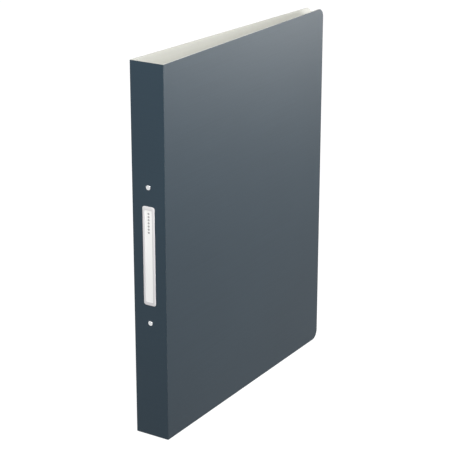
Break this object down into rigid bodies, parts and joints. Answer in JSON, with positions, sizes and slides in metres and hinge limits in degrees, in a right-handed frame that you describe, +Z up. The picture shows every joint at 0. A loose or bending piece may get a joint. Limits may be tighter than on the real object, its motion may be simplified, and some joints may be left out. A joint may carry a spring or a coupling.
{
  "type": "ring binder",
  "caption": "Closed A4 ring binder of blue-grey plastic sheet, with covers that fold at the spine, rings that open, and a spine label.",
  "frame": {"origin": "middle of the spine's foot, halfway through the sheet", "axes": "+X across the spine from the back cover to the front cover, +Y from the spine to the fore edge, +Z up"},
  "size_m": [0.0314, 0.2509, 0.314],
  "materials": {
    "cover_sheet": "satin blue-grey polypropylene",
    "label_frame": "satin pale grey",
    "label_card": "matt white card",
    "plated_steel": "bright nickel plate"
  },
  "bodies": {
    "spine": {"spine_panel": "cover_sheet", "label_frame": "label_frame", "label_card": "label_card", "upper_rivet": "plated_steel", "lower_rivet": "plated_steel", "mechanism_plate": "plated_steel"},
    "front_cover": {"front_cover_panel": "cover_sheet"},
    "back_cover": {"back_cover_panel": "cover_sheet"},
    "front_rings": {"front_carrier_rail": "plated_steel", "upper_front_half_ring": "plated_steel", "lower_front_half_ring": "plated_steel"},
    "back_rings": {"back_carrier_rail": "plated_steel", "upper_back_half_ring": "plated_steel", "lower_back_half_ring": "plated_steel"}
  },
  "joints": [
    {"name": "front_crease", "type": "hinge", "parent": "spine", "child": "front_cover", "pos_m": [0.01575, -0.0006, 0.157], "axis": [0, 0, -1], "range_deg": [0, 180]},
    {"name": "back_crease", "type": "hinge", "parent": "spine", "child": "back_cover", "pos_m": [-0.01575, -0.0006, 0.157], "axis": [0, 0, 1], "range_deg": [0, 180]},
    {"name": "front_ring_toggle", "type": "hinge", "parent": "spine", "child": "front_rings", "pos_m": [0.0065, 0.00215, 0.157], "axis": [0, 0, -1], "range_deg": [0, 10]},
    {"name": "back_ring_toggle", "type": "hinge", "parent": "spine", "child": "back_rings", "pos_m": [-0.0065, 0.00215, 0.157], "axis": [0, 0, 1], "range_deg": [0, 10]}
  ],
  "couplings": [
    {"joint": "back_ring_toggle", "follows": "front_ring_toggle", "ratio": 1}
  ]
}
